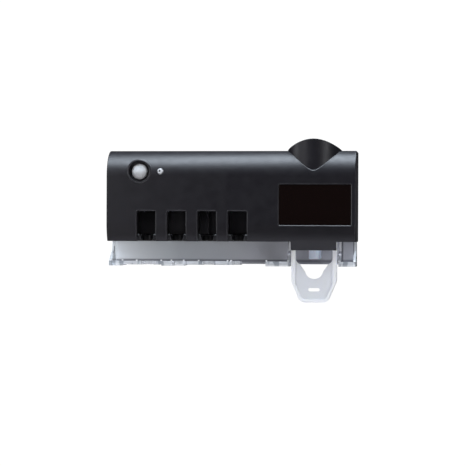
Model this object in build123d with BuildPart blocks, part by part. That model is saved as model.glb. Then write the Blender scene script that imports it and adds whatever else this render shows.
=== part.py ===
"""Wall-hung UV toothbrush sanitizer with a tube-fed toothpaste squeezer, in millimetres.

Frame: +X to the right seen from the front, +Y into the wall, +Z up.
The origin is the centre of the adhesive pad's face on the wall, so the whole object has Y below zero.
"""

import math
import os

from build123d import *

os.makedirs("parts", exist_ok=True)

# ---------------------------------------------------------------- driving dimensions
BODY_W = 205.0  # length of the casing, end to end
BODY_TOP = 37.5  # top face of the casing
BODY_BOTTOM = -37.5  # lower edge of the casing
FRONT_Y = -54.0  # flat front of the casing
PART_Y = -16.0  # parting plane between front cover and rear housing
BACK_RIM_Y = -1.5  # rim of the rear housing, just off the wall
BACK_WALL_Y = -4.5  # rear face of the rear housing's wall
BACK_WALL = 2.0
WALL = 2.2  # general wall of the front cover
TOP_R = 21.0  # rounded top edge of the front cover
LOW_R = 31.0  # the front curves in below this centre line
LOW_START = -22.0
END_FILLET = 0.6  # rounding of the end edges

SLOT_X = [-69.6 + 25.2 * i for i in range(4)]  # toothbrush slots
SLOT_W = 15.3
SLOT_TOP = -12.6
NOTCH_W = 8.8  # neck notches in the brush rack
RACK_TOP = -31.6
RACK_BOTTOM = -37.0
RACK_X0, RACK_X1 = -81.5, 17.9
RACK_REAR_Y = -36.0
SLEEVE_REAR_Y = -37.5
SLEEVE_T = 1.5

SENSOR_Z = 19.9
PIR_X = -75.3
PIR_R = 6.35  # standard half-inch motion sensor lens
FLANGE_W = 1.4  # flange behind the lens
RECESS_Y, RECESS_R = -50.4, 8.0  # floor of the dish round the lens
RECESS_T = 1.6  # wall behind it
BOSS_R, BOSS_H = 10.2, 0.4  # round boss of the dish, just proud of the flat front
BOSS_BREAK = 0.8
LED_X = -57.9
LED_R = 2.6

BAY_X = 68.0  # centre of the collar, the squeezer and the lever
TUBE_Y = -30.9  # axis of the toothpaste tube
COLLAR_R = 22.4
COLLAR_BORE_R = 20.5
COLLAR_STEP_Z = 20.4
COLLAR_LIP = 9.2  # rise of the collar's front lip above the casing
FUNNEL_Z = 3.0
FUNNEL_R = 8.2

WINDOW_X, WINDOW_Z = 69.4, -7.3
WINDOW_W, WINDOW_H = 59.0, 33.4
WINDOW_FACE_Y = -53.4
WINDOW_SEAT_Y = -52.6
SEAT_W = 2.0  # width of the window's seat
SOLAR_BACK_Y = -51.0

TONGUE_W = 37.4
TONGUE_TOP = -36.5
TONGUE_BOTTOM = -44.5
EDGE_BREAK = 0.5  # chamfer round the solar window
SLOT_BREAK = 0.8  # chamfer round the toothbrush slots

GUARD_X = 102.2  # half length of the clear neck guard
GUARD_BACK_Y = -14.0
GUARD_WALL = 2.0
GUARD_FRONT_Y = -43.0
GUARD_BOTTOM = -57.8
GUARD_FLOOR = 2.2
GUARD_RIM_Z = -53.8  # top of the bead round the floor's edge
GUARD_RIM = 1.3
GUARD_STEP = 0.9  # the underside is stepped up by this below the brushes
STEPPED = [(-92.4, -58.2), (-40.5, 15.0)]  # from X to X
RIB_X = [-90.9, -79.0, -58.4, -49.9, -39.7, -27.2, -3.2, -0.2, 28.9]  # small ribs on the front edge
RIB_R = 0.7
RIB_TOP = -52.7
GUARD_TOP = -37.5
BAY_HALF = 20.0  # half width of the guard's opening for the squeezer
GAP_X1 = 28.5  # the floor is open from the last notch to here
GAP_BOTTOM = -56.4  # lower edge of the back wall where there is no floor
GUARD_TABS = [(-89.0, 4.5), (-11.8, 4.0), (38.0, 5.0), (91.8, 1.6)]  # centre and half width

LAMP_Y, LAMP_Z = -25.0, -8.6
LAMP_X0, LAMP_X1 = -84.0, 22.0
LAMP_R = 3.5

SHIELD_Z = -2.0  # underside of the shield between lamp chamber and electronics
SHIELD_T = 1.5

BOARD_Y = -8.9
SENSOR_BOARD_Y = -43.0

PAD_T = 0.8  # adhesive foam
RAIL_X = 30.0  # T rails of the wall plate
RAIL_HALF = 12.0
RAIL_NECK, RAIL_HEAD = 2.5, 5.0  # half widths of the T
RAIL_NECK_Y, RAIL_FRONT_Y = -6.7, -8.6
RAIL_PLAY = 0.3
CHANNEL_HALF, CHANNEL_FRONT_Y = 6.8, -10.5
PLATE_FRONT_Y = -3.6
PLATE_HOLE_X = 52.0
PLATE_HOLE_R = 2.25
PLATE_SINK_R = 3.9

PIVOT_Y, PIVOT_Z = -37.7, -33.0  # lever pivot
PIVOT_R = 1.5
EAR_R = 3.5
LEVER_W = 37.6
ARM_T = 3.5
LEVER_WAIST = -69.6
LEVER_BOTTOM = -87.4
LEVER_FRONT_Y = -41.2
LEVER_BACK_Y = -34.4
LEVER_PLATE_Y = -39.9  # face of the plate, sunk behind the rim
LEVER_PLATE = 1.8
LEVER_ROUND = 0.8  # rounding along the front edge of its rim
LEVER_TAPER = 0.421  # inward slope of the sides below the waist
NOSE_DROP = 9.0  # push nose below the pivot: slide travel per radian
SLIDE_FRONT_Y = -38.1
SLIDE_T = 2.5
BELLOWS_Z = -33.0
BELLOWS_R = 6.5
BLOCK_FRONT_Y = -27.0
NOZZLE_Y = -27.5
NOZZLE_R = 5.2
NOZZLE_TIP = -51.7
HOUSING_W = 28.4
HOUSING_WALL = 1.8
DECK_HALF = 19.4
DECK_FRONT_Y = -42.4
HOUSING_BACK_Y = -17.0
HOUSING_BOTTOM = -44.5
DECK_Z = -14.0
SEAL_R = 11.0

POSTS = [(-96.4, 28.0), (96.4, 28.0), (-96.4, -28.0), (96.4, -28.0), (2.0, 31.4)]
POST_R = 3.2
SCREW_R = 1.3


# ---------------------------------------------------------------- shared shapes
def low_arc_y(radius, z):
    """Y of the lower front curve of the casing at height z, for the outer or inner radius."""
    return FRONT_Y + LOW_R - math.sqrt(radius**2 - (z - LOW_START) ** 2)


def casing_face(inset, z_bottom, y_rear):
    """Side profile of the casing, drawn in YZ, moved inwards by inset."""
    top_r = TOP_R - inset
    low_r = LOW_R - inset
    crest_y = FRONT_Y + TOP_R
    top_z = BODY_TOP - inset
    arc_z = BODY_TOP - TOP_R
    front = FRONT_Y + inset
    low_y = low_arc_y(low_r, z_bottom)
    with BuildLine() as line:
        Line((y_rear, top_z), (crest_y, top_z))
        RadiusArc((crest_y, top_z), (front, arc_z), -top_r)
        Line((front, arc_z), (front, LOW_START))
        RadiusArc((front, LOW_START), (low_y, z_bottom), -low_r)
        Line((low_y, z_bottom), (y_rear, z_bottom))
        Line((y_rear, z_bottom), (y_rear, top_z))
    return line


def casing_solid(inset, half_length, z_bottom, y_rear):
    """The casing's envelope as a solid, inset from the outside."""
    with BuildPart() as solid:
        with BuildSketch(Plane.YZ.offset(-half_length)):
            with BuildLine():
                add(casing_face(inset, z_bottom, y_rear).line)
            make_face()
        extrude(amount=2 * half_length)
    return solid.part


def front_plane(y):
    """Sketch plane seen from the front: local x is X, local y is Z, and it faces -Y."""
    return Plane(origin=(0, y, 0), x_dir=(1, 0, 0), z_dir=(0, -1, 0))


def tongue_y(z):
    """Outer Y of the squeezer tongue at height z, on the tangent at the casing's lower edge."""
    drop = LOW_START - BODY_BOTTOM
    slope = drop / math.sqrt(LOW_R**2 - drop**2)
    return low_arc_y(LOW_R, BODY_BOTTOM) + slope * (BODY_BOTTOM - z)


def on_slot_rim(edge):
    """Whether an edge runs along a toothbrush slot on the outer face of the cover."""
    c = edge.center()
    near = any(abs(c.X - x) < SLOT_W / 2 + 0.1 for x in SLOT_X)
    outer_y = FRONT_Y if c.Z > LOW_START else low_arc_y(LOW_R, c.Z)
    return near and BODY_BOTTOM + 1 < c.Z < SLOT_TOP + 0.1 and abs(c.Y - outer_y) < 0.3


def on_shoulder(edge):
    """Whether an edge is on the rack's shoulders, where a brush rests in a slot."""
    c = edge.center()
    near = any(abs(c.X - x) < SLOT_W / 2 - 0.3 for x in SLOT_X)
    return near and abs(c.Z - RACK_TOP) < 0.01 and c.Y < SLEEVE_REAR_Y - 0.5


def on_window_rim(edge):
    """Whether an edge is on the front rim of the solar window's seat."""
    c = edge.center()
    inside = abs(c.X - WINDOW_X) < WINDOW_W / 2 + 0.1 and abs(c.Z - WINDOW_Z) < WINDOW_H / 2 + 0.1
    return inside and abs(c.Y - FRONT_Y) < 0.01


def notch(x, half, flare, throat_y, bottom_y):
    """Sketch of a round-ended notch with a flared mouth, open towards -Y."""
    mouth = throat_y - 2 * flare
    with BuildSketch() as shape:
        with BuildLine():
            ThreePointArc((x - half, bottom_y - half), (x, bottom_y), (x + half, bottom_y - half))
            Polyline(
                (x + half, bottom_y - half),
                (x + half, throat_y),
                (x + half + flare, mouth),
                (x + half + flare, mouth - 12),
                (x - half - flare, mouth - 12),
                (x - half - flare, mouth),
                (x - half, throat_y),
                (x - half, bottom_y - half),
            )
        make_face()
    return shape.sketch


def cap_middle(radius, rise):
    """Point halfway up the profile of a spherical cap that bulges towards -Y."""
    sphere = (radius**2 + rise**2) / (2 * rise)
    half_angle = math.asin(radius / sphere) / 2
    return sphere * math.sin(half_angle), sphere - rise - sphere * math.cos(half_angle)


def corner_box(x0, x1, y0, y1, mode=Mode.ADD):
    """A rectangle between two corners, added to or cut from the open sketch."""
    with Locations(((x0 + x1) / 2, (y0 + y1) / 2)):
        Rectangle(x1 - x0, y1 - y0, mode=mode)


def paddle(half, waist, bottom, radius):
    """Sketch of the lever's outline, straight to the waist and tapering to a rounded foot."""
    foot = half - LEVER_TAPER * (waist - bottom)
    side = [(half, PIVOT_Z), (half, waist), (foot, bottom)]
    points = side + [(-x, z) for x, z in reversed(side)]
    with BuildSketch() as shape:
        with BuildLine():
            FilletPolyline(*[(BAY_X + x, z) for x, z in points], radius=radius)
            Line((BAY_X - half, PIVOT_Z), (BAY_X + half, PIVOT_Z))
        make_face()
    return shape.sketch


def write(named, label):
    """Labels one finished piece and writes its STEP file."""
    named.part.label = label
    export_step(named.part, f"parts/{label}.step")


def box(x0, x1, y0, y1, z0, z1, mode=Mode.ADD):
    """A box between two corners, added to or cut from the open part."""
    with Locations(((x0 + x1) / 2, (y0 + y1) / 2, (z0 + z1) / 2)):
        Box(abs(x1 - x0), abs(y1 - y0), abs(z1 - z0), mode=mode)


def rod_y(x, z, y0, y1, radius, mode=Mode.ADD):
    """A cylinder along Y between two Y values."""
    with Locations((x, (y0 + y1) / 2, z)):
        Cylinder(radius, abs(y1 - y0), rotation=(90, 0, 0), mode=mode)


def rod_x(x0, x1, y, z, radius, mode=Mode.ADD):
    """A cylinder along X between two X values."""
    with Locations(((x0 + x1) / 2, y, z)):
        Cylinder(radius, abs(x1 - x0), rotation=(0, 90, 0), mode=mode)


def rod_z(x, y, z0, z1, radius, mode=Mode.ADD):
    """A cylinder along Z between two Z values."""
    with Locations((x, y, (z0 + z1) / 2)):
        Cylinder(radius, abs(z1 - z0), mode=mode)


HALF = BODY_W / 2
INNER = HALF - WALL

# ---------------------------------------------------------------- front cover
with BuildPart() as lens_boss:
    rod_y(PIR_X, SENSOR_Z, FRONT_Y - BOSS_H, RECESS_Y + RECESS_T, BOSS_R)
    chamfer(lens_boss.faces().sort_by(Axis.Y)[0].edges(), BOSS_BREAK)

with BuildPart() as front_cover:
    with BuildSketch(Plane.YZ.offset(-HALF)):
        with BuildLine():
            add(casing_face(0, BODY_BOTTOM, PART_Y).line)
        make_face()
    extrude(amount=BODY_W)
    ends = front_cover.faces().sort_by(Axis.X)
    rim_edges = [e for end in (ends[0], ends[-1]) for e in end.edges() if e.center().Y < PART_Y - 0.01]
    fillet(rim_edges, END_FILLET)
    add(casing_solid(WALL, INNER, BODY_BOTTOM - 3, PART_Y + 1), mode=Mode.SUBTRACT)
    # tongue that covers the squeezer, straight on from the casing's lower curve
    top_y, tip_y = tongue_y(TONGUE_TOP), tongue_y(TONGUE_BOTTOM)
    with BuildSketch(Plane.YZ.offset(BAY_X - TONGUE_W / 2)):
        Polygon(
            (top_y, TONGUE_TOP),
            (tip_y, TONGUE_BOTTOM),
            (tip_y + WALL, TONGUE_BOTTOM),
            (top_y + WALL, TONGUE_TOP),
            align=None,
        )
    extrude(amount=TONGUE_W)
    # toothbrush slots, open at the lower edge
    with BuildSketch(front_plane(-45)):
        for x in SLOT_X:
            with Locations((x, (SLOT_TOP + BODY_BOTTOM - 6) / 2)):
                RectangleRounded(SLOT_W, SLOT_TOP - BODY_BOTTOM + 6, 1.0)
    extrude(amount=15, mode=Mode.SUBTRACT)
    slot_edges = [e for e in front_cover.edges() if on_slot_rim(e)]
    chamfer(slot_edges, SLOT_BREAK)
    # seat and opening of the solar window
    with BuildSketch(front_plane(WINDOW_SEAT_Y)):
        with Locations((WINDOW_X, WINDOW_Z)):
            RectangleRounded(WINDOW_W, WINDOW_H, 0.6)
    extrude(amount=WINDOW_SEAT_Y - FRONT_Y, mode=Mode.SUBTRACT)
    chamfer(front_cover.edges().filter_by(on_window_rim), EDGE_BREAK)
    box(WINDOW_X - WINDOW_W / 2 + SEAT_W, WINDOW_X + WINDOW_W / 2 - SEAT_W, FRONT_Y, FRONT_Y + 5,
        WINDOW_Z - WINDOW_H / 2 + SEAT_W, WINDOW_Z + WINDOW_H / 2 - SEAT_W, mode=Mode.SUBTRACT)
    # boss, dished recess and hole of the motion sensor, and the indicator's hole
    add(lens_boss.part)
    with BuildSketch(front_plane(RECESS_Y)):
        with Locations((PIR_X, SENSOR_Z)):
            Circle(RECESS_R)
    extrude(amount=RECESS_Y - FRONT_Y + 1, taper=-10, mode=Mode.SUBTRACT)
    rod_y(PIR_X, SENSOR_Z, -60, -45, PIR_R + 0.1, mode=Mode.SUBTRACT)
    # relief behind it for the lens's flange
    rod_y(PIR_X, SENSOR_Z, RECESS_Y + RECESS_T, -45, PIR_R + FLANGE_W + 0.2, mode=Mode.SUBTRACT)
    rod_y(LED_X, SENSOR_Z, -60, -45, LED_R + 0.1, mode=Mode.SUBTRACT)
    # opening for the tube collar
    rod_z(BAY_X, TUBE_Y, COLLAR_STEP_Z - 0.3, 60, COLLAR_R + 0.2, mode=Mode.SUBTRACT)
    # screw posts, each on a rib from the nearest wall
    for x, z in POSTS:
        rod_y(x, z, -40, BACK_WALL_Y - BACK_WALL, POST_R)
    for x, z in POSTS[:4]:
        wall_x = math.copysign(INNER + 0.2, x)
        box(x, wall_x, -40, PART_Y, z - 1, z + 1)
    box(POSTS[4][0] - 1, POSTS[4][0] + 1, -32, PART_Y, POSTS[4][1], BODY_TOP - WALL + 0.2)
    for x, z in POSTS:
        rod_y(x, z, -17.5, -6, SCREW_R, mode=Mode.SUBTRACT)
write(front_cover, "front_cover")

# ---------------------------------------------------------------- rear housing
with BuildPart() as rear_housing:
    with BuildSketch(front_plane(BACK_RIM_Y)):
        RectangleRounded(BODY_W, BODY_TOP - BODY_BOTTOM, END_FILLET)
    extrude(amount=BACK_RIM_Y - PART_Y)
    # front hollow, and the shallow recess that faces the wall and is open below
    box(-INNER, INNER, PART_Y - 1, BACK_WALL_Y - BACK_WALL, BODY_BOTTOM + WALL,
        BODY_TOP - WALL, mode=Mode.SUBTRACT)
    box(-INNER, INNER, BACK_WALL_Y, 0, BODY_BOTTOM - 1, BODY_TOP - WALL, mode=Mode.SUBTRACT)
    # T channels for the wall plate, open at the bottom
    for x in (-RAIL_X, RAIL_X):
        box(x - CHANNEL_HALF, x + CHANNEL_HALF, CHANNEL_FRONT_Y, BACK_WALL_Y - BACK_WALL,
            BODY_BOTTOM + WALL, RAIL_HALF + 2)
    neck = RAIL_NECK + RAIL_PLAY
    head = RAIL_HEAD + RAIL_PLAY
    for x in (-RAIL_X, RAIL_X):
        box(x - neck, x + neck, RAIL_NECK_Y - RAIL_PLAY, BACK_WALL_Y + 0.5, BODY_BOTTOM - 1,
            RAIL_HALF + RAIL_PLAY, mode=Mode.SUBTRACT)
        box(x - head, x + head, RAIL_FRONT_Y - RAIL_PLAY, RAIL_NECK_Y + RAIL_PLAY, BODY_BOTTOM - 1,
            RAIL_HALF + RAIL_PLAY, mode=Mode.SUBTRACT)
    # guide ribs either side of the squeezer
    for side in (-1, 1):
        box(BAY_X + side * (DECK_HALF + 0.4), BAY_X + side * (DECK_HALF + 2.0), -40,
            BACK_WALL_Y - BACK_WALL, BODY_BOTTOM + WALL, -8)
    # openings in the bottom wall: the squeezer's bay and the guard's tabs
    box(BAY_X - DECK_HALF - 0.4, BAY_X + DECK_HALF + 0.4, PART_Y - 1, -15, BODY_BOTTOM - 1,
        BODY_BOTTOM + 3, mode=Mode.SUBTRACT)
    for x, half in GUARD_TABS:
        box(x - half - 0.3, x + half + 0.3, PART_Y - 1, GUARD_BACK_Y + 0.2, BODY_BOTTOM - 1,
            BODY_BOTTOM + 3, mode=Mode.SUBTRACT)
    rod_z(BAY_X, TUBE_Y, BODY_TOP - 5, 60, COLLAR_R + 0.2, mode=Mode.SUBTRACT)
    # charging socket opening in the left end
    box(-HALF - 1, -INNER + 1, -14.2, -9.9, 13.4, 22.2, mode=Mode.SUBTRACT)
    # screw holes with head recesses
    for x, z in POSTS:
        rod_y(x, z, -8, -3, SCREW_R + 0.2, mode=Mode.SUBTRACT)
        rod_y(x, z, -5.9, -3, 2.7, mode=Mode.SUBTRACT)
write(rear_housing, "rear_housing")

# ---------------------------------------------------------------- casing screws
with BuildPart() as casing_screws:
    for x, z in POSTS:
        rod_y(x, z, -16.5, -5.9, SCREW_R)
        rod_y(x, z, -5.9, -4.6, 2.5)
    for x, z in POSTS:
        box(x - 0.3, x + 0.3, -5.2, -4, z - 1.6, z + 1.6, mode=Mode.SUBTRACT)
        box(x - 1.6, x + 1.6, -5.2, -4, z - 0.3, z + 0.3, mode=Mode.SUBTRACT)
write(casing_screws, "casing_screws")

# ---------------------------------------------------------------- wall plate and adhesive pad
with BuildPart() as wall_plate:
    with BuildSketch(front_plane(-PAD_T)):
        RectangleRounded(130, 44, 5)
    extrude(amount=-PAD_T - PLATE_FRONT_Y)
    for x in (-RAIL_X, RAIL_X):
        box(x - RAIL_NECK, x + RAIL_NECK, RAIL_NECK_Y, PLATE_FRONT_Y, -RAIL_HALF, RAIL_HALF)
        box(x - RAIL_HEAD, x + RAIL_HEAD, RAIL_FRONT_Y, RAIL_NECK_Y, -RAIL_HALF, RAIL_HALF)
    for x in (-PLATE_HOLE_X, PLATE_HOLE_X):
        with Locations(Location((x, PLATE_FRONT_Y, 0), (90, 0, 0))):
            CounterSinkHole(PLATE_HOLE_R, PLATE_SINK_R, 5)
write(wall_plate, "wall_plate")

with BuildPart() as adhesive_pad:
    with BuildSketch(front_plane(0)):
        RectangleRounded(92, 40, 3)
    extrude(amount=PAD_T)
write(adhesive_pad, "adhesive_pad")

# ---------------------------------------------------------------- tube collar and funnel
COLLAR_TOP = BODY_TOP + COLLAR_LIP
with BuildPart() as tube_collar:
    with BuildSketch(Plane(origin=(BAY_X, TUBE_Y, 0), x_dir=(1, 0, 0), z_dir=(0, -1, 0))):
        with BuildLine():
            Polyline(
                (FUNNEL_R, 0),
                (FUNNEL_R + 2, 0),
                (FUNNEL_R + 2, FUNNEL_Z),
                (COLLAR_R - 2.2, 17.0),
                (COLLAR_R - 2.2, COLLAR_STEP_Z),
                (COLLAR_R, COLLAR_STEP_Z),
                (COLLAR_R, 60),
                (COLLAR_BORE_R, 60),
                (COLLAR_BORE_R, 22.5),
                (18.0, 18.0),
                (FUNNEL_R, FUNNEL_Z + 1),
                (FUNNEL_R, 0),
            )
        make_face()
    revolve(axis=Axis((BAY_X, TUBE_Y, 0), (0, 0, 1)))
    # lip: highest in front, down to the casing's top at the sides and behind
    lip_front = TUBE_Y - COLLAR_R
    with BuildSketch(Plane.YZ.offset(BAY_X - 30)):
        with BuildLine():
            Line((0, BODY_TOP - 0.4), (TUBE_Y, BODY_TOP))
            ThreePointArc(
                (TUBE_Y, BODY_TOP),
                ((TUBE_Y + lip_front) / 2, BODY_TOP + 0.28 * COLLAR_LIP),
                (lip_front, COLLAR_TOP),
            )
            Polyline(
                (lip_front, COLLAR_TOP),
                (lip_front - 5, COLLAR_TOP + 3),
                (lip_front - 5, 70),
                (0, 70),
                (0, BODY_TOP - 0.4),
            )
        make_face()
    extrude(amount=60, mode=Mode.SUBTRACT)
write(tube_collar, "tube_collar")

# ---------------------------------------------------------------- brush rack
SLEEVE_HALF = SLOT_W / 2 + 0.2
with BuildPart() as brush_rack:
    box(RACK_X0, RACK_X1, -60, RACK_REAR_Y, RACK_BOTTOM, RACK_TOP)
    for x in SLOT_X:
        box(x - SLEEVE_HALF - SLEEVE_T, x + SLEEVE_HALF + SLEEVE_T, -60, SLEEVE_REAR_Y, RACK_TOP,
            SLOT_TOP + SLEEVE_T + 0.3)
        box(x - SLEEVE_HALF, x + SLEEVE_HALF, -61, -30, RACK_TOP, SLOT_TOP + 0.3, mode=Mode.SUBTRACT)
    add(casing_solid(WALL + 0.1, INNER - 1, RACK_BOTTOM, PART_Y), mode=Mode.INTERSECT)
    # neck notches with flared mouths
    for x in SLOT_X:
        with BuildSketch(Plane.XY.offset(RACK_BOTTOM - 1)):
            add(notch(x, NOTCH_W / 2, 1.6, -47.0, -38.8))
        extrude(amount=RACK_TOP - RACK_BOTTOM + 2, mode=Mode.SUBTRACT)
    chamfer(brush_rack.edges().filter_by(on_shoulder), SLOT_BREAK)
write(brush_rack, "brush_rack")

# ---------------------------------------------------------------- clear neck guard
GUARD_INNER = GUARD_X - GUARD_WALL
OPEN_SPANS = [(SLOT_X[3], GAP_X1), (BAY_X - BAY_HALF, BAY_X + BAY_HALF)]  # no floor here
with BuildPart() as neck_guard:
    back_front = GUARD_BACK_Y - GUARD_WALL
    # floor with a bead round its edge, notched for the necks and open round the squeezer
    with BuildSketch(Plane.XY.offset(GUARD_BOTTOM)) as floor:
        corner_box(-GUARD_X, GUARD_X, GUARD_FRONT_Y, GUARD_BACK_Y)
        for x in SLOT_X:
            add(notch(x, 4.5, 0.5, GUARD_FRONT_Y + 3, GUARD_FRONT_Y + 13), mode=Mode.SUBTRACT)
        for x0, x1 in OPEN_SPANS:
            corner_box(x0, x1, GUARD_FRONT_Y - 1, GUARD_BACK_Y + 1, mode=Mode.SUBTRACT)
    extrude(amount=GUARD_FLOOR)
    with BuildSketch(Plane.XY.offset(GUARD_BOTTOM)):
        for piece in floor.sketch_local.faces():
            add(piece)
            offset(piece, -GUARD_RIM, mode=Mode.SUBTRACT)
    extrude(amount=GUARD_RIM_Z - GUARD_BOTTOM)
    # back wall, ending a little higher where there is no floor
    box(-GUARD_X, GUARD_X, back_front, GUARD_BACK_Y, GUARD_BOTTOM, GUARD_TOP)
    for x0, x1 in OPEN_SPANS:
        box(x0, x1, back_front - 1, 0, GUARD_BOTTOM - 1, GAP_BOTTOM, mode=Mode.SUBTRACT)
    # end walls and the walls beside the squeezer, with sloping front edges
    for x in (-GUARD_X, GUARD_INNER, BAY_X - BAY_HALF - GUARD_WALL, BAY_X + BAY_HALF):
        with BuildSketch(Plane.YZ.offset(x)):
            Polygon(
                (GUARD_BACK_Y, GUARD_TOP),
                (-26.0, GUARD_TOP),
                (-28.5, -45.0),
                (GUARD_FRONT_Y, GUARD_RIM_Z),
                (GUARD_FRONT_Y, GUARD_BOTTOM),
                (GUARD_BACK_Y, GUARD_BOTTOM),
                align=None,
            )
        extrude(amount=GUARD_WALL)
    # ribs on the floor's front edge, and the steps in its underside
    for x in RIB_X:
        rod_z(x, GUARD_FRONT_Y + RIB_R, GUARD_BOTTOM, RIB_TOP, RIB_R)
    for x0, x1 in STEPPED:
        box(x0, x1, GUARD_FRONT_Y - 1, 0, GUARD_BOTTOM - 1, GUARD_BOTTOM + GUARD_STEP, mode=Mode.SUBTRACT)
    # tabs up into the rear housing
    for x, half in GUARD_TABS:
        box(x - half, x + half, back_front, GUARD_BACK_Y, GUARD_TOP, -30.0)
write(neck_guard, "neck_guard")

# ---------------------------------------------------------------- lamp chamber
with BuildPart() as chamber_shield:
    box(-INNER + 0.5, 44.0, -50.8, -11.0, SHIELD_Z, SHIELD_Z + SHIELD_T)
    for x in (-70, -20, 30):
        rod_z(x, -40, SHIELD_Z - 1, SHIELD_Z + 3, 1.5, mode=Mode.SUBTRACT)
write(chamber_shield, "chamber_shield")

CAP_L = 8.0
REFLECTOR_R, REFLECTOR_T = 6.5, 0.5
with BuildPart() as lamp_reflector:
    with BuildSketch(Plane.YZ.offset(LAMP_X0 + CAP_L + 3)):
        with Locations((LAMP_Y, LAMP_Z)):
            Circle(REFLECTOR_R)
            Circle(REFLECTOR_R - REFLECTOR_T, mode=Mode.SUBTRACT)
        with Locations((LAMP_Y, LAMP_Z - REFLECTOR_R)):
            Rectangle(4 * REFLECTOR_R, 2 * REFLECTOR_R, mode=Mode.SUBTRACT)
    extrude(amount=LAMP_X1 - LAMP_X0 - 2 * CAP_L - 6)
write(lamp_reflector, "lamp_reflector")

with BuildPart() as uv_lamp:
    rod_x(LAMP_X0 + CAP_L, LAMP_X1 - CAP_L, LAMP_Y, LAMP_Z, LAMP_R)
write(uv_lamp, "uv_lamp")

with BuildPart() as lamp_caps:
    rod_x(LAMP_X0, LAMP_X0 + CAP_L, LAMP_Y, LAMP_Z, LAMP_R + 0.4)
    rod_x(LAMP_X1 - CAP_L, LAMP_X1, LAMP_Y, LAMP_Z, LAMP_R + 0.4)
write(lamp_caps, "lamp_caps")

with BuildPart() as lamp_clips:
    for x in (LAMP_X0 + CAP_L / 2, LAMP_X1 - CAP_L / 2):
        box(x - 2, x + 2, LAMP_Y - 5.4, LAMP_Y + 5.4, LAMP_Z - 1.2, SHIELD_Z)
        rod_x(x - 3, x + 3, LAMP_Y, LAMP_Z, LAMP_R + 0.45, mode=Mode.SUBTRACT)
write(lamp_clips, "lamp_clips")

# ---------------------------------------------------------------- electronics
BOARD_FACE = BOARD_Y - 1.6
with BuildPart() as main_board:
    box(-99.0, -42.0, BOARD_FACE, BOARD_Y, 3.0, 32.0)
    rod_y(*POSTS[0], -12, -7, POST_R + 0.3, mode=Mode.SUBTRACT)
write(main_board, "main_board")

with BuildPart() as board_parts:
    box(-90, -82, BOARD_FACE - 1.8, BOARD_FACE, 17, 25)  # controller
    box(-76, -66, BOARD_FACE - 7.5, BOARD_FACE, 6, 16)  # lamp transformer
    box(-60, -55, BOARD_FACE - 2.6, BOARD_FACE, 22, 28)  # regulator
    for z in (10, 20):
        rod_y(-50, z, BOARD_FACE - 8, BOARD_FACE, 3.2)  # capacitors
write(board_parts, "board_parts")

with BuildPart() as usb_socket:
    box(-101.8, -95.0, -13.4, BOARD_FACE, 14.0, 21.6)
    box(-102.5, -96.5, -12.9, BOARD_FACE - 0.5, 14.5, 21.1, mode=Mode.SUBTRACT)
    box(-101.4, -96.4, -12.2, -11.6, 15.2, 20.4)
write(usb_socket, "usb_socket")

BATTERY_Y, BATTERY_Z, BATTERY_R = -34.0, 15.0, 9.2
with BuildPart() as battery_cell:
    rod_x(-26.0, 39.0, BATTERY_Y, BATTERY_Z, BATTERY_R)
    fillet(battery_cell.edges().filter_by(GeomType.CIRCLE), 0.8)
    rod_x(38.9, 39.9, BATTERY_Y, BATTERY_Z, 3.0)
write(battery_cell, "battery_cell")

with BuildPart() as battery_cradle:
    box(-27.5, 41.5, BATTERY_Y - 9, BATTERY_Y + 9, SHIELD_Z + SHIELD_T, BATTERY_Z - 1)
    rod_x(-26.2, 40.2, BATTERY_Y, BATTERY_Z, BATTERY_R + 0.2, mode=Mode.SUBTRACT)
write(battery_cradle, "battery_cradle")

with BuildPart() as sensor_board:
    box(-88.0, -50.0, SENSOR_BOARD_Y, SENSOR_BOARD_Y + 1.6, 10.0, 29.0)
write(sensor_board, "sensor_board")

CAN_FRONT_Y = SENSOR_BOARD_Y - 4.2
with BuildPart() as motion_sensor:
    rod_y(PIR_X, SENSOR_Z, CAN_FRONT_Y, SENSOR_BOARD_Y, 4.1)
    rod_y(PIR_X, SENSOR_Z, SENSOR_BOARD_Y - 0.6, SENSOR_BOARD_Y, 4.7)
    box(PIR_X - 1.7, PIR_X + 1.7, -48, CAN_FRONT_Y + 0.3, SENSOR_Z - 1.4, SENSOR_Z + 1.4,
        mode=Mode.SUBTRACT)
write(motion_sensor, "motion_sensor")

# domed lens with a skirt through the cover and a flange behind it
LENS_BASE_Y, LENS_RISE, LENS_T = -51.6, 3.0, 0.9
FLANGE_Y = RECESS_Y + RECESS_T - LENS_BASE_Y
with BuildPart() as sensor_lens:
    inner_r, inner_rise = PIR_R - LENS_T, LENS_RISE - LENS_T
    with BuildSketch(Plane(origin=(PIR_X, LENS_BASE_Y, SENSOR_Z), x_dir=(1, 0, 0), z_dir=(0, 0, 1))):
        with BuildLine():
            ThreePointArc((0, -LENS_RISE), cap_middle(PIR_R, LENS_RISE), (PIR_R, 0))
            Polyline(
                (PIR_R, 0),
                (PIR_R, FLANGE_Y),
                (PIR_R + FLANGE_W, FLANGE_Y),
                (PIR_R + FLANGE_W, FLANGE_Y + 1.2),
                (inner_r, FLANGE_Y + 1.2),
                (inner_r, 0),
            )
            ThreePointArc((inner_r, 0), cap_middle(inner_r, inner_rise), (0, -inner_rise))
            Line((0, -inner_rise), (0, -LENS_RISE))
        make_face()
    revolve(axis=Axis((PIR_X, 0, SENSOR_Z), (0, 1, 0)))
write(sensor_lens, "sensor_lens")

with BuildPart() as indicator_led:
    rod_y(LED_X, SENSOR_Z, -53.6, SENSOR_BOARD_Y - 1.5, LED_R)
    fillet(indicator_led.edges().filter_by(GeomType.CIRCLE).sort_by(Axis.Y)[0], 1.2)
    rod_y(LED_X, SENSOR_Z, SENSOR_BOARD_Y - 1.5, SENSOR_BOARD_Y, LED_R + 0.4)
write(indicator_led, "indicator_led")

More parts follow.
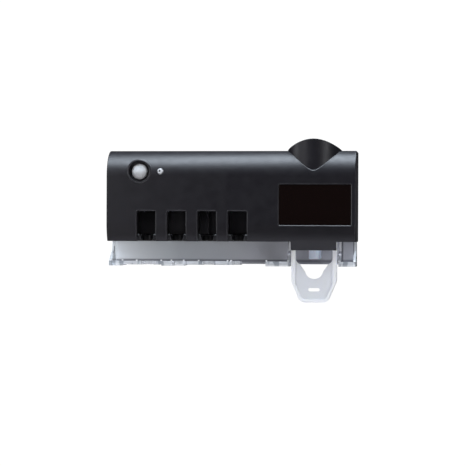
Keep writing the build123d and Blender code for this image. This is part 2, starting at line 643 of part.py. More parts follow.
# ---------------------------------------------------------------- solar panel
with BuildPart() as solar_window:
    with BuildSketch(front_plane(WINDOW_SEAT_Y)):
        with Locations((WINDOW_X, WINDOW_Z)):
            RectangleRounded(WINDOW_W - 0.3, WINDOW_H - 0.3, 0.5)
    extrude(amount=WINDOW_SEAT_Y - WINDOW_FACE_Y)
write(solar_window, "solar_window")

with BuildPart() as solar_panel:
    inset = SEAT_W + 0.2
    box(WINDOW_X - WINDOW_W / 2 + inset, WINDOW_X + WINDOW_W / 2 - inset, WINDOW_SEAT_Y, SOLAR_BACK_Y,
        WINDOW_Z - WINDOW_H / 2 + inset, WINDOW_Z + WINDOW_H / 2 - inset)
write(solar_panel, "solar_panel")

# ---------------------------------------------------------------- squeezer housing
HOUSING_HALF = HOUSING_W / 2
HOUSING_FLOOR = HOUSING_BOTTOM + 1.2
with BuildPart() as squeezer_housing:
    with BuildSketch(Plane.YZ.offset(BAY_X - HOUSING_HALF)):
        Polygon(
            (HOUSING_BACK_Y, HOUSING_BOTTOM),
            (LEVER_BACK_Y, HOUSING_BOTTOM),
            (LEVER_BACK_Y, -37.6),
            (LEVER_FRONT_Y, -37.6),
            (LEVER_FRONT_Y, -28.5),
            (-38.0, -24.0),
            (-38.0, DECK_Z),
            (HOUSING_BACK_Y, DECK_Z),
            align=None,
        )
    extrude(amount=HOUSING_W)
    # hollow, open to the front
    box(BAY_X - HOUSING_HALF + HOUSING_WALL, BAY_X + HOUSING_HALF - HOUSING_WALL, -60,
        HOUSING_BACK_Y - HOUSING_WALL, HOUSING_FLOOR, DECK_Z, mode=Mode.SUBTRACT)
    # top deck with the ring that holds the neck seal
    box(BAY_X - DECK_HALF, BAY_X + DECK_HALF, DECK_FRONT_Y, HOUSING_BACK_Y, DECK_Z, DECK_Z + 2)
    rod_z(BAY_X, TUBE_Y, DECK_Z + 1, -2.0, SEAL_R + 1.3)
    rod_z(BAY_X, TUBE_Y, DECK_Z + 2, -1.0, SEAL_R, mode=Mode.SUBTRACT)
    rod_z(BAY_X, TUBE_Y, DECK_Z - 1, -1.0, 4.5, mode=Mode.SUBTRACT)
    # nozzle hole and pivot holes
    rod_z(BAY_X, NOZZLE_Y, HOUSING_BOTTOM - 1, HOUSING_FLOOR + 1, NOZZLE_R + 0.05, mode=Mode.SUBTRACT)
    rod_x(BAY_X - 20, BAY_X + 20, PIVOT_Y, PIVOT_Z, PIVOT_R, mode=Mode.SUBTRACT)
write(squeezer_housing, "squeezer_housing")

with BuildPart() as neck_seal:
    with BuildSketch(Plane(origin=(BAY_X, TUBE_Y, 0), x_dir=(1, 0, 0), z_dir=(0, -1, 0))):
        Polygon(
            (4.5, DECK_Z + 2),
            (SEAL_R - 0.05, DECK_Z + 2),
            (SEAL_R - 0.05, -2.0),
            (SEAL_R + 1, -2.0),
            (SEAL_R + 1, -0.8),
            (7.6, -0.8),
            (6.2, -3.0),
            (6.2, -9.5),
            (4.5, -9.5),
            align=None,
        )
    revolve(axis=Axis((BAY_X, TUBE_Y, 0), (0, 0, 1)))
write(neck_seal, "neck_seal")

BLOCK_REAR_Y = HOUSING_BACK_Y - HOUSING_WALL
CHANNEL_Y = -24.4
with BuildPart() as pump_block:
    box(BAY_X - 10, BAY_X + 10, BLOCK_FRONT_Y, BLOCK_REAR_Y, -41.3, DECK_Z)
    box(BAY_X - 10, BAY_X + 10, -37.0, BLOCK_FRONT_Y, -21.0, DECK_Z)
    rod_z(BAY_X, TUBE_Y, -18.0, DECK_Z + 1, 3.6, mode=Mode.SUBTRACT)
    box(BAY_X - 1.8, BAY_X + 1.8, TUBE_Y, CHANNEL_Y, -18.0, -16.0, mode=Mode.SUBTRACT)
    rod_z(BAY_X, CHANNEL_Y, -42, -16.0, 1.8, mode=Mode.SUBTRACT)
    rod_y(BAY_X, BELLOWS_Z, BLOCK_FRONT_Y - 1, CHANNEL_Y, 2.2, mode=Mode.SUBTRACT)
write(pump_block, "pump_block")

with BuildPart() as inlet_valve:
    rod_z(BAY_X, TUBE_Y, -15.2, -14.2, 3.5)
    rod_z(BAY_X, TUBE_Y, -17.0, -15.2, 1.2)
write(inlet_valve, "inlet_valve")

# silicone bellows between the slide and the pump block
SLIDE_REAR_Y = SLIDE_FRONT_Y + SLIDE_T
with BuildPart() as pump_bellows:
    pitch = (BLOCK_FRONT_Y - SLIDE_REAR_Y) / 3
    fold = [(BELLOWS_R - 1, SLIDE_REAR_Y)]
    for i in range(3):
        fold.append((BELLOWS_R, SLIDE_REAR_Y + pitch * (i + 0.5)))
        fold.append((BELLOWS_R - 1, SLIDE_REAR_Y + pitch * (i + 1)))
    lining = [(r - 0.9, y) for r, y in reversed(fold[1:])]
    cap = [(BELLOWS_R - 1.9, SLIDE_REAR_Y + 0.9), (0, SLIDE_REAR_Y + 0.9), (0, SLIDE_REAR_Y)]
    with BuildSketch(Plane(origin=(BAY_X, 0, BELLOWS_Z), x_dir=(1, 0, 0), z_dir=(0, 0, 1))):
        Polygon(*fold, *lining, *cap, align=None)
    revolve(axis=Axis((BAY_X, 0, BELLOWS_Z), (0, 1, 0)))
write(pump_bellows, "pump_bellows")

SPRING_R, SPRING_WIRE, SPRING_TURNS = 3.6, 0.35, 5
with BuildPart() as return_spring:
    start = SLIDE_REAR_Y + 1.0 + SPRING_WIRE
    length = BLOCK_FRONT_Y - SPRING_WIRE - 0.1 - start
    with BuildLine() as coil:
        Helix(
            pitch=length / SPRING_TURNS,
            height=length,
            radius=SPRING_R,
            center=(BAY_X, start, BELLOWS_Z),
            direction=(0, 1, 0),
        )
    with BuildSketch(Plane(origin=coil.line @ 0, z_dir=coil.line % 0)):
        Circle(SPRING_WIRE)
    sweep(path=coil.line, is_frenet=True)
write(return_spring, "return_spring")

with BuildPart() as push_slide:
    box(BAY_X - 9.5, BAY_X + 9.5, SLIDE_FRONT_Y, SLIDE_REAR_Y, -43.0, -26.5)
    box(BAY_X - 12.1, BAY_X + 12.1, SLIDE_FRONT_Y + 1.0, SLIDE_REAR_Y, -42.0, -39.5)
write(push_slide, "push_slide")

with BuildPart() as nozzle:
    rod_z(BAY_X, NOZZLE_Y, NOZZLE_TIP, HOUSING_FLOOR, NOZZLE_R)
    fillet(nozzle.edges().filter_by(GeomType.CIRCLE).sort_by(Axis.Z)[0], 0.8)
    # flange on the housing's floor, cut flat in front so that the slide clears it
    rod_z(BAY_X, NOZZLE_Y, HOUSING_FLOOR, -41.5, NOZZLE_R + 0.8)
    box(BAY_X - 8, BAY_X + 8, -40, NOZZLE_Y - NOZZLE_R, HOUSING_FLOOR, -41.5, mode=Mode.SUBTRACT)
    rod_z(BAY_X, NOZZLE_Y, -49.0, -41.0, 3.8, mode=Mode.SUBTRACT)
    rod_z(BAY_X, NOZZLE_Y, NOZZLE_TIP - 1, -48.0, 2.2, mode=Mode.SUBTRACT)
write(nozzle, "nozzle")

with BuildPart() as outlet_valve:
    rod_z(BAY_X, NOZZLE_Y, -47.0, -46.0, 3.7)
    rod_z(BAY_X, NOZZLE_Y, -49.0, -47.0, 1.6)
    box(BAY_X - 1.2, BAY_X + 1.2, NOZZLE_Y - 0.15, NOZZLE_Y + 0.15, -50, -46.5, mode=Mode.SUBTRACT)
write(outlet_valve, "outlet_valve")

# ---------------------------------------------------------------- push lever and its pivot pins
LEVER_HALF = LEVER_W / 2
with BuildPart() as push_lever:
    # rim and arms: straight down to the waist, then tapering to a rounded foot
    with BuildSketch(front_plane(LEVER_BACK_Y)):
        add(paddle(LEVER_HALF, LEVER_WAIST, LEVER_BOTTOM, 6.0))
    extrude(amount=LEVER_BACK_Y - LEVER_FRONT_Y)
    outline = push_lever.faces().sort_by(Axis.Y)[0].edges()
    fillet([e for e in outline if e.center().Z < PIVOT_Z - 1], LEVER_ROUND)
    # hollow in front of and behind the plate
    with BuildSketch(front_plane(LEVER_PLATE_Y)):
        add(paddle(LEVER_HALF - ARM_T, LEVER_WAIST - 2.2, LEVER_BOTTOM + 2.6, 4.2))
    extrude(amount=LEVER_PLATE_Y - LEVER_FRONT_Y + 1, mode=Mode.SUBTRACT)
    with BuildSketch(front_plane(LEVER_BACK_Y + 1)):
        add(paddle(LEVER_HALF - ARM_T, LEVER_WAIST - 2.2, LEVER_BOTTOM + 2.6, 4.2))
    extrude(amount=LEVER_BACK_Y + 1 - LEVER_PLATE_Y - LEVER_PLATE, mode=Mode.SUBTRACT)
    # opening for the brush: full width above, closing to a half round
    arm_x = LEVER_HALF - ARM_T
    with BuildSketch(Plane(origin=(BAY_X, LEVER_BACK_Y + 1, 0), x_dir=(1, 0, 0), z_dir=(0, -1, 0))):
        with BuildLine():
            Polyline((0, PIVOT_Z + 6), (arm_x, PIVOT_Z + 6), (arm_x, -50.7))
            ThreePointArc((arm_x, -50.7), (arm_x - 0.9, -53.6), (11.9, -55.7))
            Line((11.9, -55.7), (7.4, -62.0))
            ThreePointArc((7.4, -62.0), (4.9, -66.2), (0, -67.9))
            Line((0, -67.9), (0, PIVOT_Z + 6))
        make_face()
        mirror(about=Plane.YZ)
    extrude(amount=12, mode=Mode.SUBTRACT)
    # drain slot
    with BuildSketch(front_plane(LEVER_BACK_Y + 1)):
        with Locations((BAY_X, -76.9)):
            SlotOverall(9.4, 2.6)
    extrude(amount=12, mode=Mode.SUBTRACT)
    # pivot ears, and the bar with the push nose between the arms
    for side in (-1, 1):
        rod_x(BAY_X + side * (LEVER_HALF - ARM_T), BAY_X + side * LEVER_HALF, PIVOT_Y, PIVOT_Z, EAR_R)
    box(BAY_X - LEVER_HALF + 1, BAY_X + LEVER_HALF - 1, LEVER_FRONT_Y, LEVER_FRONT_Y + 1.8, -44.0, -39.5)
    rod_x(BAY_X - 6, BAY_X + 6, LEVER_FRONT_Y + 1.8, PIVOT_Z - NOSE_DROP, 1.0)
    rod_x(BAY_X - 20, BAY_X + 20, PIVOT_Y, PIVOT_Z, PIVOT_R + 0.05, mode=Mode.SUBTRACT)
write(push_lever, "push_lever")

with BuildPart() as lever_pins:
    for side in (-1, 1):
        rod_x(BAY_X + side * 11.0, BAY_X + side * (LEVER_HALF - 0.2), PIVOT_Y, PIVOT_Z, PIVOT_R)
        rod_x(BAY_X + side * 11.0, BAY_X + side * 12.2, PIVOT_Y, PIVOT_Z, 2.6)
write(lever_pins, "lever_pins")
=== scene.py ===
"""Looks of the wall-hung toothbrush sanitizer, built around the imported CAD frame.

Metres, in the CAD's own frame: +X to the right seen from the front, +Y into the wall, +Z up.
"""

import math

import bpy
from mathutils import Matrix, Vector


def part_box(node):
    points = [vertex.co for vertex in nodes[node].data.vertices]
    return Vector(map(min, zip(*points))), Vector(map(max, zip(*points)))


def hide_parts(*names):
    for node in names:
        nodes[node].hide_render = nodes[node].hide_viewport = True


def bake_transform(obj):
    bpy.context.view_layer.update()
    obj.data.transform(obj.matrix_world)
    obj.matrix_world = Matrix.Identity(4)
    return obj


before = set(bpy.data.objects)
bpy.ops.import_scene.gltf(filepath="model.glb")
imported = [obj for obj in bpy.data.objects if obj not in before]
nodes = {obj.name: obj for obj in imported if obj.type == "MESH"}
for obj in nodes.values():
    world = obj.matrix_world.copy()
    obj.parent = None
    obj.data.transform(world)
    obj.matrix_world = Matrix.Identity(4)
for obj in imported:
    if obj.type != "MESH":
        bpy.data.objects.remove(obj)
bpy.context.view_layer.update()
scene = bpy.context.scene


# ---------------------------------------------------------------- node helpers
class Graph:
    """A material's node tree, with short calls for the few nodes used here."""

    def __init__(self, name):
        self.material = bpy.data.materials.new(name)
        self.material.use_nodes = True
        self.tree = self.material.node_tree
        self.shader = self.tree.nodes["Principled BSDF"]
        self.place = self.node("ShaderNodeTexCoord").outputs["Object"]
        self.tone = None  # the base colour, kept for a finish that adds to it

    def node(self, kind, **settings):
        made = self.tree.nodes.new(kind)
        for key, value in settings.items():
            setattr(made, key, value)
        return made

    def link(self, source, target):
        self.tree.links.new(source, target)

    def drive(self, socket, value):
        """Gives one of the shader's sockets a value that varies over the surface."""
        self.link(value, self.shader.inputs[socket])

    def set(self, **values):
        """Values on the Principled shader's own sockets; underscores stand for spaces."""
        for key, value in values.items():
            self.shader.inputs[key.replace("_", " ")].default_value = value

    # -------- patterns and places
    def stretched(self, scale):
        """Object coordinates scaled per axis."""
        mapping = self.node("ShaderNodeMapping")
        mapping.inputs["Scale"].default_value = scale
        self.link(self.place, mapping.inputs["Vector"])
        return mapping.outputs["Vector"]

    def noise(self, scale, detail=2.0, roughness=0.5, vector=None):
        made = self.node("ShaderNodeTexNoise")
        made.inputs["Scale"].default_value = scale
        made.inputs["Detail"].default_value = detail
        made.inputs["Roughness"].default_value = roughness
        self.link(vector or self.place, made.inputs["Vector"])
        return made.outputs["Fac"]

    def cells(self, scale):
        """Distance from the nearest cell's middle."""
        made = self.node("ShaderNodeTexVoronoi")
        made.inputs["Scale"].default_value = scale
        self.link(self.place, made.inputs["Vector"])
        return made.outputs["Distance"]

    def axes(self):
        """The three object coordinates."""
        made = self.node("ShaderNodeSeparateXYZ")
        self.link(self.place, made.inputs["Vector"])
        return made.outputs["X"], made.outputs["Y"], made.outputs["Z"]

    def from_axis(self, x, z):
        """Distance from an axis along Y."""
        across, _, up = self.axes()
        sides = [self.math("POWER", self.math("SUBTRACT", value, centre), 2.0)
                 for value, centre in ((across, x), (up, z))]
        return self.math("SQRT", self.math("ADD", *sides))

    def rounded(self, radius):
        """Normal that rounds the edges off by a radius."""
        bevel = self.node("ShaderNodeBevel")
        bevel.inputs["Radius"].default_value = radius
        return bevel.outputs["Normal"]

    def edges(self, radius):
        """1 on the edges, 0 on open faces."""
        geometry = self.node("ShaderNodeNewGeometry")
        dot = self.node("ShaderNodeVectorMath", operation="DOT_PRODUCT")
        self.link(self.rounded(radius), dot.inputs[0])
        self.link(geometry.outputs["Normal"], dot.inputs[1])
        return self.fall(dot.outputs["Value"], 0.75, 0.99)

    # -------- numbers
    def math(self, operation, first, second=0.0):
        made = self.node("ShaderNodeMath", operation=operation)
        for socket, value in zip(made.inputs, (first, second)):
            if isinstance(value, (int, float)):
                socket.default_value = value
            else:
                self.link(value, socket)
        return made.outputs[0]

    def away(self, value, centre):
        """How far a value is from a centre, either way."""
        return self.math("ABSOLUTE", self.math("SUBTRACT", value, centre))

    def product(self, first, *others):
        for other in others:
            first = self.math("MULTIPLY", first, other)
        return first

    def spread(self, value, low, high, start=0.3, end=0.7):
        """A value from start to end mapped onto low to high, and held there beyond."""
        made = self.node("ShaderNodeMapRange")
        made.inputs["From Min"].default_value = start
        made.inputs["From Max"].default_value = end
        made.inputs["To Min"].default_value = low
        made.inputs["To Max"].default_value = high
        self.link(value, made.inputs["Value"])
        return made.outputs["Result"]

    def rise(self, value, start, end):
        """0 up to start, 1 from end on."""
        return self.spread(value, 0.0, 1.0, start, end)

    def fall(self, value, start, end):
        """1 up to start, 0 from end on."""
        return self.spread(value, 1.0, 0.0, start, end)

    # -------- colours, relief and light
    def ramp(self, value, *stops):
        """A colour ramp through (position, colour) stops."""
        made = self.node("ShaderNodeValToRGB")
        points = made.color_ramp.elements
        while len(points) < len(stops):
            points.new(0.5)
        for point, (position, colour) in zip(points, stops):
            point.position = position
            point.color = (*colour, 1)
        self.link(value, made.inputs["Fac"])
        return made.outputs["Color"]

    def mix(self, share, first, second):
        """Blends two colours, each a tuple or a socket."""
        made = self.node("ShaderNodeMix", data_type="RGBA")
        self.link(share, made.inputs["Factor"])
        for name, colour in (("A", first), ("B", second)):
            if isinstance(colour, tuple):
                made.inputs[name].default_value = (*colour, 1)
            else:
                self.link(colour, made.inputs[name])
        return made.outputs["Result"]

    def bump(self, *layers, start=None):
        """Stacks (height, distance in metres, strength) layers into the shader's normal."""
        normal = start
        for height, distance, strength in layers:
            made = self.node("ShaderNodeBump")
            made.inputs["Distance"].default_value = distance
            made.inputs["Strength"].default_value = strength
            self.link(height, made.inputs["Height"])
            if normal is not None:
                self.link(normal, made.inputs["Normal"])
            normal = made.outputs["Normal"]
        self.drive("Normal", normal)

    def let_lamps_through(self, tint):
        """Lamps shine through the surface instead of leaving a black shadow behind it."""
        path = self.node("ShaderNodeLightPath")
        open_way = self.node("ShaderNodeBsdfTransparent")
        open_way.inputs["Color"].default_value = (*tint, 1)
        mix = self.node("ShaderNodeMixShader")
        self.link(path.outputs["Is Shadow Ray"], mix.inputs["Fac"])
        self.link(self.shader.outputs["BSDF"], mix.inputs[1])
        self.link(open_way.outputs["BSDF"], mix.inputs[2])
        self.link(mix.outputs["Shader"], self.tree.nodes["Material Output"].inputs["Surface"])


def scaled(colour, factor):
    return tuple(part * factor for part in colour)


def middle(node):
    """X and Z of a node's middle."""
    low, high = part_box(node)
    return (low[0] + high[0]) / 2, (low[2] + high[2]) / 2


# ---------------------------------------------------------------- kinds of finish
WHITE, BLACK = (1.0, 1.0, 1.0), (0.0, 0.0, 0.0)
# noise scales are features per metre
MOTTLE, GLOSS = 35, 160  # of moulded plastic: tone in patches about 30 mm wide, gloss about 6 mm
SHADE, SHEEN, WAVES = 18, 90, 60  # of polished plastic: tone, gloss and unevenness of the surface
EDGE_ROUND, POLISHED_ROUND = 0.0003, 0.0004  # radius that the light sees on an edge
EDGE_WEAR_AND_HIGHLIGHT = 0.0005  # reach of the lightened edges, partly rubbed wear and partly a painted highlight


def moulded(name, colour, rough, grain=0.00016, depth=0.00001, mottle=0.12, edge=None, **extra):
    """Injection-moulded plastic: spark-eroded grain, slow mottling of tone and gloss, and edges lightened
    partly as rubbed wear and partly as a painted highlight.
    """
    g = Graph(name)
    slow = g.noise(MOTTLE, 3, 0.55)
    g.tone = g.ramp(slow, (0.3, scaled(colour, 1 - mottle)), (0.7, scaled(colour, 1 + mottle)))
    # the edge colour lightens the edges: partly rubbed wear, partly a painted highlight
    if edge:
        g.tone = g.mix(g.edges(EDGE_WEAR_AND_HIGHLIGHT), g.tone, edge)
    g.drive("Base Color", g.tone)
    g.drive("Roughness", g.spread(g.noise(GLOSS), rough - 0.03, rough + 0.04))
    grains = g.noise(0.5 / grain, 2, 0.6)
    g.bump((grains, depth, 1.0), (slow, 0.00002, 0.1), start=g.rounded(EDGE_ROUND))
    g.set(**extra)
    return g


def polished(name, colour, rough, **extra):
    """Smooth clear or glossy plastic: only a faint unevenness of tone and gloss."""
    g = Graph(name)
    g.drive("Base Color", g.ramp(g.noise(SHADE), (0.3, scaled(colour, 0.97)), (0.7, colour)))
    g.drive("Roughness", g.spread(g.noise(SHEEN), rough * 0.8, rough * 1.3))
    g.bump((g.noise(WAVES), 0.000015, 0.3), start=g.rounded(POLISHED_ROUND))
    g.set(**extra)
    return g


def dress(names, graph):
    """Gives the nodes with these names a material."""
    for name in names.split():
        for place in nodes[name].material_slots:
            place.material = graph.material


# ---------------------------------------------------------------- casing, plate and pad
# the edge colours here are partly rubbed wear and partly a painted highlight on rims and slot edges
dress("front_cover rear_housing tube_collar",
      moulded("cover_black", (0.0046, 0.0036, 0.0062), 0.43, mottle=0.08, edge=(0.14, 0.14, 0.145)))
dress("brush_rack chamber_shield battery_cradle",
      moulded("rack_black", (0.004, 0.004, 0.0045), 0.33, depth=0.000003, edge=(0.22, 0.22, 0.23),
              Specular_IOR_Level=0.3))
dress("wall_plate", moulded("plate_plastic", (0.05, 0.05, 0.054), 0.5))
dress("adhesive_pad",
      moulded("pad_foam", (0.60, 0.61, 0.59), 0.85, grain=0.0005, depth=0.00012, mottle=0.08))
dress("solar_window", polished("window_glass", (0.0045, 0.0016, 0.0013), 0.06))
dress("solar_panel", moulded("solar_cell", (0.03, 0.010, 0.010), 0.2, mottle=0.2))

# ---------------------------------------------------------------- clear neck guard
(LEFT, FRONT, FOOT), (RIGHT, BACK, _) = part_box("neck_guard")  # the guard's own box
GUARD_WALL = 0.0020  # thickness of the guard's walls
LEDGE_TOP = FOOT + 0.0038
WALL_SHADE_END = 0.050  # X from which the painted shade on the back wall is at its deepest
SQUEEZER_X, _ = middle("push_lever")
WALL_CORNERS = (SQUEEZER_X - 0.0227, SQUEEZER_X + 0.0222, RIGHT - 0.0025)  # X of walls at the back wall, whose corners get painted shade
WEDGE_FOOT, WEDGE_TIP = FOOT + 0.0048, FOOT + 0.0178
WEDGE_FOOT_HALF, WEDGE_TIP_HALF = 0.0082, 0.0002  # half of the wedge's depth there
PATCH_SCALE = (210, 20, 50)  # features per metre of the ledge's patches, along each axis

# guard colours: the wall shades, foot shadow and corner shade are painted shade on the back wall; the edge
# shade, wedge shade and refraction grey are painted shade where thick clear plastic bends the view
WALL_SHADE_PALE, WALL_SHADE_MID, WALL_SHADE_DEEP = (0.93, 0.95, 0.96), (0.55, 0.57, 0.59), (0.42, 0.42, 0.45)
FOOT_SHADOW, CORNER_SHADE, WEDGE_SHADE = (0.10, 0.10, 0.12), (0.06, 0.06, 0.07), (0.05, 0.055, 0.06)
CLEAR, CLEAR_EDGE_SHADE, REFRACTION_GREY = (0.93, 0.95, 0.97), (0.40, 0.42, 0.45), (0.42, 0.45, 0.48)


def painted_wall_shade(g):
    """Colour of the back wall: painted shade, deeper towards the squeezer, with a painted shadow along its
    foot and painted shade in its corners.
    """
    across, _, up = g.axes()
    wall_shade = g.ramp(g.rise(across, LEFT + 0.0022, WALL_SHADE_END),
                   (0.0, WALL_SHADE_PALE), (0.35, WALL_SHADE_MID), (1.0, WALL_SHADE_DEEP))
    band = g.ramp(g.rise(up, FOOT + 0.0018, FOOT + 0.0058),
                  (0.0, BLACK), (0.45, WHITE), (0.7, WHITE), (1.0, BLACK))
    wall_shade = g.mix(g.math("MULTIPLY", band, 0.7), wall_shade, FOOT_SHADOW)
    for corner in WALL_CORNERS:
        wall_shade = g.mix(g.spread(g.away(across, corner), 0.8, 0.0, 0.0003, 0.0008), wall_shade, CORNER_SHADE)
    return wall_shade


def end_wedge(g):
    """Share of a painted dark wedge in the left end wall, painted shade where the wall bends the view, wider
    towards its foot.
    """
    across, deep, up = g.axes()
    half_depth = g.spread(up, WEDGE_FOOT_HALF, WEDGE_TIP_HALF, WEDGE_FOOT, WEDGE_TIP)
    out = g.math("DIVIDE", g.away(deep, (FRONT + BACK) / 2), half_depth)
    return g.product(g.spread(out, 0.85, 0.0, 0.7, 1.1),
                     g.rise(across, LEFT + 0.0012, LEFT + 0.0017),
                     g.fall(across, LEFT + 0.0022, LEFT + 0.0027),
                     g.rise(up, FOOT + 0.0033, FOOT + 0.0043))


def clear_plastic():
    """The guard: a back wall with painted shade, and a clear ledge, ribs and end walls with thick plastic's
    lines as painted shade and painted highlights.
    """
    g = polished("clear_plastic", (0.86, 0.88, 0.90), 0.05, IOR=1.57)
    across, deep, up = g.axes()
    # each share is 1 on its own part of the guard, and fades out at the part's border
    wall = g.product(g.rise(up, FOOT + 0.0006, FOOT + 0.0012),
                     g.rise(deep, BACK - GUARD_WALL - 0.0012, BACK - GUARD_WALL - 0.0002))
    ledge = g.fall(up, LEDGE_TOP, LEDGE_TOP + 0.0015)
    end_walls = g.rise(g.math("ABSOLUTE", across), RIGHT - GUARD_WALL + 0.0001, RIGHT - GUARD_WALL + 0.0004)
    ribs = g.product(g.fall(deep, FRONT + 0.0016, FRONT + 0.0020),
                     g.rise(up, LEDGE_TOP + 0.0001, LEDGE_TOP + 0.0004))
    wedge = end_wedge(g)
    # the ledge's front gets painted white and grey patches, painted highlights and shade standing in for
    # light bent through thick clear plastic
    painted_refraction = g.product(g.rise(g.noise(1.0, 1.0, vector=g.stretched(PATCH_SCALE)), 0.50, 0.57),
                        ledge, g.fall(deep, FRONT + 0.0008, FRONT + 0.0014))
    # clear edges painted darker, painted shade standing in for refraction
    body = g.mix(g.edges(EDGE_ROUND), CLEAR, CLEAR_EDGE_SHADE)
    body = g.mix(painted_refraction, body, REFRACTION_GREY)
    # the ribs are painted white as a painted highlight, and the wedge dark as painted shade
    body = g.mix(wedge, g.mix(ribs, body, WHITE), WEDGE_SHADE)
    g.drive("Base Color", g.mix(wall, body, painted_wall_shade(g)))
    dimmed = ((ledge, 0.6), (end_walls, 0.3), (ribs, 0.3), (wedge, 0.3), (wall, 0.35))
    g.drive("Transmission Weight",
            g.product(*(g.spread(share, 1.0, least, 0.0, 1.0) for share, least in dimmed)))
    g.let_lamps_through((0.85, 0.86, 0.88))
    return g


dress("neck_guard", clear_plastic())


# ---------------------------------------------------------------- lever and pump
def frosted_plastic():
    """The lever: its thick rim, in front, scatters more light than the thin plate."""
    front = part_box("push_lever")[0][1]
    g = moulded("frosted_plastic", (0.90, 0.91, 0.94), 0.42, depth=0.000005, mottle=0.03,
                Subsurface_Weight=0.3, Subsurface_Scale=1.0, IOR=1.5)
    g.set(Subsurface_Radius=(0.004, 0.004, 0.005))
    _, deep, _ = g.axes()
    rim = g.fall(deep, front + 0.0001, front + 0.0011)
    g.drive("Base Color", g.mix(rim, g.tone, (0.99, 0.99, 1.0)))
    g.drive("Transmission Weight", g.spread(rim, 0.10, 0.0, 0.0, 1.0))
    return g


dress("push_lever", frosted_plastic())
dress("squeezer_housing pump_block push_slide nozzle lamp_clips",
      moulded("pump_plastic", (0.62, 0.68, 0.75), 0.38, mottle=0.04,
              Subsurface_Weight=0.15, Subsurface_Scale=0.004))
dress("neck_seal pump_bellows inlet_valve outlet_valve",
      moulded("silicone", (0.72, 0.73, 0.72), 0.5, mottle=0.04,
              Subsurface_Weight=0.3, Subsurface_Scale=0.004))
dress("return_spring lever_pins casing_screws usb_socket motion_sensor",
      moulded("steel", (0.56, 0.56, 0.57), 0.32, mottle=0.1, depth=0.000004, Metallic=1.0))

# ---------------------------------------------------------------- sensor and indicator
FACETS = 420  # facets per metre of the lens
DOME_END, FOOT_END = 0.0040, 0.0060  # radii between which the dome passes into its foot
DIE_FULL, DIE_END = 0.0005, 0.0010  # radii between which the indicator's dark die fades out


def lens_plastic():
    """Milky lens: painted lighter towards the bottom to even out the lamps' shading, with the facets of the
    Fresnel rings.
    """
    x, z = middle("sensor_lens")
    g = moulded("lens_white", (0.46, 0.51, 0.53), 0.5, mottle=0.02, Subsurface_Weight=1.0,
                Subsurface_Scale=0.005, Specular_IOR_Level=0.25)
    g.set(Subsurface_Radius=WHITE)
    _, _, up = g.axes()
    facets = g.cells(FACETS)
    # painted light: lighter at the bottom and darker at the top, evening out the lamps' shading
    painted_lens_light = g.ramp(g.rise(up, z - 0.0059, z + 0.0056),
                  (0.0, (0.97, 1.0, 1.0)), (0.5, (0.86, 0.90, 0.91)), (1.0, (0.80, 0.84, 0.85)))
    painted_lens_light = g.mix(g.spread(facets, 0.0, 0.5, 0.3, 0.9), painted_lens_light, (0.62, 0.66, 0.67))
    # the dome's foot, shaded down in the dish, is painted white so it looks as light as the middle
    painted_foot_light = g.spread(g.from_axis(x, z), 0.0, 0.9, DOME_END, FOOT_END)
    g.drive("Base Color", g.mix(painted_foot_light, painted_lens_light, WHITE))
    g.bump((facets, 0.00012, 0.35))
    return g


def led_plastic():
    """Clear indicator, with its dark die a little up and left of the middle."""
    x, z = middle("indicator_led")
    g = moulded("led_clear", (0.85, 0.85, 0.86), 0.12, mottle=0.02, depth=0.000002,
                Transmission_Weight=0.3, IOR=1.5)
    die = g.fall(g.from_axis(x - 0.0005, z + 0.0004), DIE_FULL, DIE_END)
    g.drive("Base Color", g.mix(die, (0.9, 0.9, 0.91), (0.02, 0.02, 0.02)))
    return g


dress("sensor_lens", lens_plastic())
dress("indicator_led", led_plastic())

# ---------------------------------------------------------------- lamp and electronics
dress("lamp_reflector",
      moulded("reflector_metal", (0.85, 0.86, 0.87), 0.12, mottle=0.05, depth=0.000003, Metallic=1.0))
dress("lamp_caps", moulded("cap_metal", (0.70, 0.70, 0.71), 0.3, mottle=0.08, Metallic=1.0))
dress("uv_lamp",
      moulded("lamp_glass", (0.82, 0.86, 0.95), 0.04, mottle=0.02, depth=0.000001,
              Transmission_Weight=0.9, IOR=1.46))
dress("main_board sensor_board", moulded("board_green", (0.02, 0.13, 0.055), 0.3, mottle=0.2))
dress("board_parts", moulded("component_black", (0.02, 0.02, 0.021), 0.45, mottle=0.2))
dress("battery_cell", moulded("battery_sleeve", (0.04, 0.17, 0.32), 0.25, mottle=0.1, depth=0.000005))


# ---------------------------------------------------------------- copies of the bellows and the spring
def flexing(name, node):
    """A copy of a CAD node, shown in place of the node, which is hidden."""
    made = bpy.data.objects.new(name, nodes[node].data.copy())
    scene.collection.objects.link(made)
    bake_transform(made)
    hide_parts(node)


flexing("flexing_bellows", "pump_bellows")
flexing("flexing_spring", "return_spring")

# ---------------------------------------------------------------- studio
FLOOR_Z, FLOOR_RADIUS, FLOOR_CORNERS = -0.32, 0.3, 96
CAMERA_LEVEL, OTHER_LEVEL = 1.05, 0.05  # the backdrop's strength for the camera's rays and for others
BEHIND_LEVEL = 0.9  # what it gains straight behind the object, seen through clear plastic
GAIN_START, GAIN_FULL = 0.30, 0.70  # Y of a ray's direction where that gain starts and where it is full


def round_floor():
    """Pale round floor, just below what the camera sees."""
    look = moulded("floor_white", (0.70, 0.65, 0.66), 0.8, grain=0.002, mottle=0.005)
    turns = [2 * math.pi * i / FLOOR_CORNERS for i in range(FLOOR_CORNERS)]
    points = [(FLOOR_RADIUS * math.cos(t), FLOOR_RADIUS * math.sin(t), FLOOR_Z) for t in turns]
    mesh = bpy.data.meshes.new("floor")
    mesh.from_pydata(points, [], [tuple(range(FLOOR_CORNERS))])
    mesh.materials.append(look.material)
    floor = bpy.data.objects.new("floor", mesh)
    scene.collection.objects.link(floor)


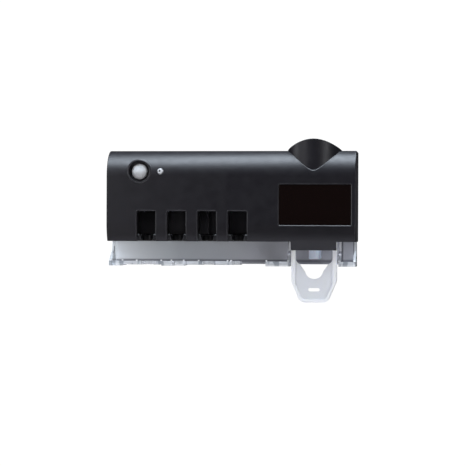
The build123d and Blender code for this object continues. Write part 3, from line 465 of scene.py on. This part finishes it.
def backdrop():
    """White backdrop: plain to the camera, dim as a light, bright behind clear plastic."""
    world = bpy.data.worlds.new("studio")
    scene.world = world
    world.use_nodes = True
    make, link = world.node_tree.nodes.new, world.node_tree.links.new
    back = world.node_tree.nodes["Background"]
    back.inputs["Color"].default_value = (1, 1, 1, 1)
    path = make("ShaderNodeLightPath")
    level = make("ShaderNodeMapRange")
    level.inputs["To Min"].default_value = OTHER_LEVEL
    level.inputs["To Max"].default_value = CAMERA_LEVEL
    link(path.outputs["Is Camera Ray"], level.inputs["Value"])
    heading = make("ShaderNodeSeparateXYZ")
    link(make("ShaderNodeTexCoord").outputs["Generated"], heading.inputs["Vector"])
    ahead = make("ShaderNodeMapRange")
    ahead.inputs["From Min"].default_value = GAIN_START
    ahead.inputs["From Max"].default_value = GAIN_FULL
    ahead.inputs["To Max"].default_value = BEHIND_LEVEL
    link(heading.outputs["Y"], ahead.inputs["Value"])
    through = make("ShaderNodeMath")
    through.operation = "MULTIPLY_ADD"
    link(path.outputs["Is Transmission Ray"], through.inputs[0])
    link(ahead.outputs["Result"], through.inputs[1])
    link(level.outputs["Result"], through.inputs[2])
    link(through.outputs["Value"], back.inputs["Strength"])


def softbox(name, place, target, size, power, tint):
    """A rectangular lamp at a place, facing a target, with its width and height, and its power in watts."""
    light = bpy.data.lights.new(name, "AREA")
    light.shape = "RECTANGLE"
    light.size, light.size_y = size
    light.energy = power
    light.color = tint
    made = bpy.data.objects.new(name, light)
    made.location = place
    made.rotation_euler = (Vector(target) - Vector(place)).to_track_quat("-Z", "Y").to_euler()
    scene.collection.objects.link(made)


round_floor()
backdrop()
softbox("key_above", (0.08, -0.12, 0.92), (0, -0.03, 0), (1.6, 0.48), power=33, tint=(0.80, 0.89, 1.0))
softbox("left_front", (-0.30, -0.42, 0.0), (-0.05, -0.05, -0.01),
        (0.12, 0.8), power=0.7, tint=(0.97, 0.96, 1.0))
softbox("left_side", (-1.0, -0.2, 0.05), (0, -0.03, 0), (0.3, 0.8), power=2.6, tint=(0.95, 0.97, 1.0))
softbox("right_strip", (1.0, -0.80, 0.05), (0, -0.03, -0.02), (0.16, 0.9), power=3.2, tint=(0.95, 0.97, 1.0))
softbox("low_right", (0.70, -0.70, -0.50), (0.05, -0.04, -0.06),
        (0.3, 0.3), power=2.6, tint=(0.96, 0.96, 1.0))

# ---------------------------------------------------------------- camera
SENSOR_WIDTH, FOCAL_LENGTH = 36, 139  # millimetres, as a camera has them
AZIMUTH, ROLL = math.radians(6.41), math.radians(0.23)
TARGET, DISTANCE = Vector((0.00257, -0.054, -0.0305)), 1.4706

camera_data = bpy.data.cameras.new("camera")
camera_data.sensor_width = SENSOR_WIDTH
camera_data.lens = FOCAL_LENGTH
camera = bpy.data.objects.new("camera", camera_data)
scene.collection.objects.link(camera)
toward = Vector((math.sin(AZIMUTH), -math.cos(AZIMUTH), 0))
facing = (-toward).to_track_quat("-Z", "Y").to_matrix().to_4x4()
camera.matrix_world = Matrix.Translation(TARGET + DISTANCE * toward) @ facing @ Matrix.Rotation(ROLL, 4, "Z")
scene.camera = camera
scene.view_settings.view_transform = "Standard"
